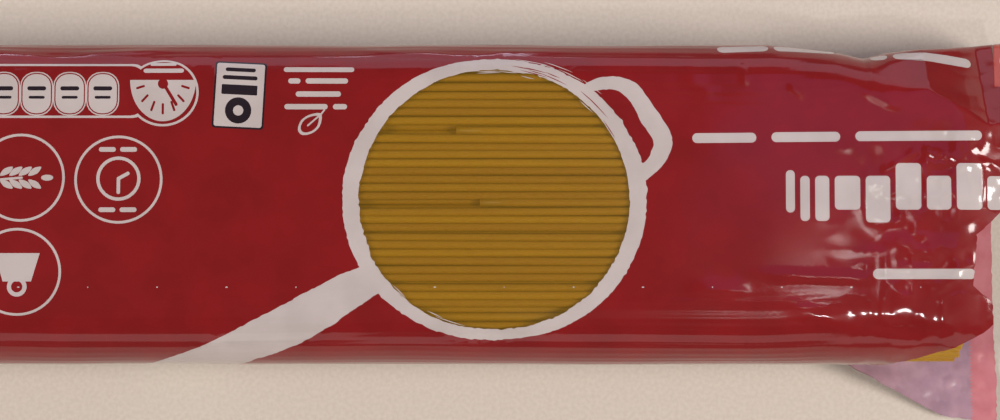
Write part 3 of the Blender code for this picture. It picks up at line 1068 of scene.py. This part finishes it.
printed = inks != CLEAR
order = [RED, WHITE, DARK, ORANGE, PALE]
materials = [INK_MATERIALS[ink] for ink in order] + [PINK_INSIDE, MAUVE_INSIDE, WHITE_INSIDE]
slot_of_ink = np.zeros(len(INK_NAMES), int)
slot_of_ink[order] = np.arange(len(order))
outer_slots = slot_of_ink[inks[printed]]
in_mauve = (middles[printed][:, 1] < -36) & (middles[printed][:, 0] < 293.3)
inner_slots = np.where(np.isin(inks[printed], (WHITE, PALE)), 7, np.where(in_mauve, 6, 5))
edges = cut_edges(triangles)
printed_film = film_piece("printed_film", triangles[printed], outer_slots, inner_slots, materials, edges)
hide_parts("film_bag")
no_rim = np.zeros((0, 2), int)
clear_count = int((~printed).sum())
nothing = np.zeros(clear_count, int)
clear_window = film_piece("clear_window", triangles[~printed], nothing, nothing, [CLEAR_FILM], no_rim)
print("faces:", len(printed_film.data.polygons), "and", len(clear_window.data.polygons))

# %% [markdown]
# ## The spaghetti
# A packet of 500 g holds about five hundred strands. They are poured in side by side, so they
# settle like logs in a stack: each row rests in the hollows of the row below. Strands are
# laid in that pattern wherever the bag leaves room, and each gets its own small wander,
# length and tone, because no two strands dry in the same way.

# %% Lay the strands
STRAND = 1.85
PITCH = 1.77
ROW = 1.54
PASTA_INSET = 0.62
PASTA_START, PASTA_LENGTH = 31.2, 255.2
rng = np.random.default_rng(500)


def bag_section(u, inset):
    """The closed outline of the bag's section at one place."""
    v = np.linspace(-HALF_GIRTH, HALF_GIRTH, 240)
    y, z = shut_bag(np.full_like(v, u), v, np.full_like(v, inset))
    return np.stack([y, z], axis=-1)


def stack_of_logs():
    """Places of the strands in the section: (across, height, row)."""
    room = bag_section(150.0, PASTA_INSET + STRAND / 2)
    top = room[:, 1].max() - 0.05
    found = []
    for row in range(19):
        z = top - row * ROW
        y = np.arange(-38.0, 38.0, PITCH) + (row % 2) * PITCH / 2
        if row == 0:
            y = -38.0 + np.cumsum(rng.uniform(0.90 * PITCH, 1.10 * PITCH, len(y)))
        spots_here = np.stack([y, np.full_like(y, z)], axis=-1)
        for spot in spots_here[inside(spots_here, room)]:
            found.append((spot[0], spot[1], row))
    return np.array(found)


stack = stack_of_logs()
print("strands:", len(stack))

# %% [markdown]
# A strand is a long thin rod, nearly straight, that never lies quite level or quite parallel to the
# next. A ring of points is set at some places along it. Strands in the two top rows can be seen
# through the window, so they get more rings, and a broken one here and there starts late.
# Each also stops where the bag closes in on it.

# %% Shape each strand
END_STATIONS = np.arange(291.0, 244.0, -1.0)
SHORT_AT = np.array([15.6, -0.2])


def reaches():
    """How far each strand may run before the bag closes in on it."""
    reach = np.full(len(stack), LENGTH)
    for u in END_STATIONS:
        room = bag_section(u, PASTA_INSET + STRAND / 2 - 0.15)
        reach[~inside(stack[:, :2], room)] = u - 1.0
    return reach


def strand_rings(spot, limit, seed):
    """Rings of points along one strand, and its tone."""
    own = np.random.default_rng(seed)
    row = spot[2]
    start = PASTA_START + abs(own.normal(0, 0.7))
    end = min(PASTA_START + PASTA_LENGTH - abs(own.normal(0, 0.9)), limit)
    visible = row < 2
    if row == 0 and np.abs(spot[0] - SHORT_AT).min() < PITCH / 2:
        start = 180.5 + own.normal(0, 1.4)
    stations = np.linspace(start, end, 15 if visible else 4)
    sway = 0.10 if visible else 0.03
    wander_y = sway * np.sin(stations / own.uniform(30, 70) + own.uniform(0, 6.3))
    sunk = 0.34 * own.random()
    wander_z = -sunk - 0.05 * (1 + np.sin(stations / own.uniform(25, 60) + own.uniform(0, 6.3)))
    drop = 0.5 * own.random() if row == 0 and own.random() < 0.14 else 0.0
    slant = own.normal(0, 0.0016) * (stations - 185.0) if visible else 0.0
    across = spot[0] + wander_y + slant + own.normal(0, 0.09 if visible else 0.02)
    height = spot[1] + (wander_z - drop if visible else 0.0)
    sides = 12 if visible else 8
    turn = 2 * pi * np.arange(sides) / sides
    radius = STRAND / 2 * own.uniform(0.955, 1.0)
    ring_y = across[:, None] + radius * np.cos(turn)[None, :]
    ring_z = height[:, None] if visible else np.full((len(stations), 1), spot[1])
    ring_z = ring_z + radius * np.sin(turn)[None, :]
    ring_u = np.repeat(stations[:, None], sides, axis=1)
    return np.stack([ring_u, ring_y, ring_z], axis=-1), own.random()


reach = reaches()
sample, _ = strand_rings(stack[0], reach[0], 1)
print("points in a strand of the top row:", sample.shape[0] * sample.shape[1])

# %% [markdown]
# Dry spaghetti is matt and slightly see-through, a warm yellow that leans to brown. It has a faint
# grain along its length, from the rough bronze die that it is pressed through.

# %% Join the strands into one piece and give them their material


def pasta_material():
    material, tree, shader = new_material("dry_spaghetti")
    tone = tree.nodes.new("ShaderNodeAttribute")
    tone.attribute_name = "tone"
    place = tree.nodes.new("ShaderNodeTexCoord")
    stretch = tree.nodes.new("ShaderNodeMapping")
    stretch.inputs["Scale"].default_value = (0.12, 1.0, 1.0)
    noise = tree.nodes.new("ShaderNodeTexNoise")
    noise.inputs["Scale"].default_value = 1 / (0.9 * MM)
    noise.inputs["Detail"].default_value = 4.0
    add = tree.nodes.new("ShaderNodeMath")
    add.operation = "MULTIPLY_ADD"
    add.inputs[1].default_value = 0.45
    tones = tree.nodes.new("ShaderNodeValToRGB")
    tones.color_ramp.elements[0].position = 0.15
    tones.color_ramp.elements[0].color = (0.285, 0.124, 0.0016, 1)
    tones.color_ramp.elements[1].position = 1.0
    tones.color_ramp.elements[1].color = (0.385, 0.200, 0.0036, 1)
    bump = tree.nodes.new("ShaderNodeBump")
    bump.inputs["Distance"].default_value = 0.03 * MM
    tree.links.new(place.outputs["Object"], stretch.inputs["Vector"])
    tree.links.new(stretch.outputs["Vector"], noise.inputs["Vector"])
    tree.links.new(noise.outputs["Fac"], add.inputs[0])
    tree.links.new(tone.outputs["Fac"], add.inputs[2])
    tree.links.new(add.outputs["Value"], tones.inputs["Fac"])
    tree.links.new(tones.outputs["Color"], shader.inputs["Base Color"])
    tree.links.new(noise.outputs["Fac"], bump.inputs["Height"])
    tree.links.new(bump.outputs["Normal"], shader.inputs["Normal"])
    shader.inputs["Roughness"].default_value = 0.48
    shader.inputs["Subsurface Weight"].default_value = 0.45
    shader.inputs["Subsurface Radius"].default_value = (1.0, 0.7, 0.25)
    shader.inputs["Subsurface Scale"].default_value = 1.2 * MM
    return material


def make_spaghetti():
    vertices, faces, tones = [], [], []
    for number, spot in enumerate(stack):
        rings, tone = strand_rings(spot, reach[number], 1000 + number)
        count, sides = rings.shape[:2]
        first = len(tones)
        vertices.append(rings.reshape(-1, 3))
        tones.extend([0.65 * tone] * (count * sides))
        for ring in range(count - 1):
            for side in range(sides):
                a = first + ring * sides + side
                b = first + ring * sides + (side + 1) % sides
                faces.append((a, b, b + sides, a + sides))
        faces.append(tuple(first + side for side in range(sides))[::-1])
        faces.append(tuple(first + (count - 1) * sides + side for side in range(sides)))
    vertices = np.concatenate(vertices)
    piece = mesh_piece("spaghetti", vertices, faces, None, [pasta_material()], [0] * len(faces))
    attribute = piece.data.attributes.new("tone", "FLOAT", "POINT")
    attribute.data.foreach_set("value", np.asarray(tones, np.float32))
    for face in piece.data.polygons:
        face.use_smooth = len(face.vertices) == 4
    return piece


spaghetti = make_spaghetti()
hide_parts("spaghetti_bundle")
spaghetti.data.calc_loop_triangles()
print("triangles of spaghetti:", len(spaghetti.data.loop_triangles))

# %% [markdown]
# ## The counter and the light
# The packet lies on a pale stone counter in a lit kitchen. Two soft lamps stand at the packet's
# ends, so its long sides throw no shadow. Glossy film shows mostly what it mirrors, so the rest is
# there to be mirrored: pale walls for the rounded shoulders, a cool panel overhead, and small
# bright lamps that sparkle in the creases.

# %% Counter and lamps


def make_counter():
    bpy.ops.mesh.primitive_plane_add(size=4.0, location=(0, 0, 0))
    counter = bpy.context.object
    counter.name = "counter"
    material, tree, shader = new_material("pale_stone")
    paint(tree, shader, ((0.575, 0.500, 0.425), (0.625, 0.550, 0.475)), 0.9, 4.0)
    shader.inputs["Roughness"].default_value = 0.7
    shader.inputs["Specular IOR Level"].default_value = 0.15
    counter.data.materials.append(material)
    return counter


def lamp(name, place, aim, size, power, colour):
    data = bpy.data.lights.new(name, "AREA")
    data.shape = "RECTANGLE"
    data.size, data.size_y = size
    data.energy = power
    data.color = colour
    light = bpy.data.objects.new(name, data)
    light.location = place
    light.rotation_euler = (Vector(aim) - Vector(place)).to_track_quat("-Z", "Y").to_euler()
    bpy.context.scene.collection.objects.link(light)
    return light


make_counter()
MIDDLE = (0.03, 0.0, 0.01)
WARM, COOL, PLAIN = (1.0, 0.965, 0.93), (0.80, 0.80, 1.0), (1.0, 0.98, 0.97)
lamp("right_softbox", (1.25, -0.20, 0.98), MIDDLE, (0.55, 0.55), 20.4, WARM)
lamp("left_softbox", (-1.25, -0.06, 0.98), MIDDLE, (0.55, 0.55), 14.6, WARM)
lamp("far_wall", (0.0, 1.3, 0.72), MIDDLE, (2.4, 0.8), 5.6, COOL)
lamp("near_wall", (0.0, -1.3, 0.45), MIDDLE, (2.4, 0.4), 2.2, WARM)
lamp("cool_panel", (0.46, 0.36, 1.3), (0.46, 0.36, 0.0), (0.50, 0.60), 0.42, (0.25, 0.36, 1.0))
lamp("small_lamp", (0.33, -0.50, 1.1), MIDDLE, (0.08, 0.055), 1.5, PLAIN)
lamp("spot_lamp", (0.285, -0.012, 1.1), (0.285, -0.012, 0.0), (0.060, 0.014), 0.06, PLAIN)
lamp("strip_left", (-0.45, 1.25, 0.26), MIDDLE, (0.24, 0.06), 0.75, COOL)
lamp("strip_middle", (0.0, 1.25, 0.24), MIDDLE, (0.18, 0.05), 0.40, COOL)
world = bpy.data.worlds.new("room")
bpy.context.scene.world = world
world.use_nodes = True
world.node_tree.nodes["Background"].inputs["Color"].default_value = (0.72, 0.70, 0.69, 1)
world.node_tree.nodes["Background"].inputs["Strength"].default_value = 0.12
bpy.context.scene.view_settings.view_transform = "Standard"
print("lamps:", len(bpy.data.lights))
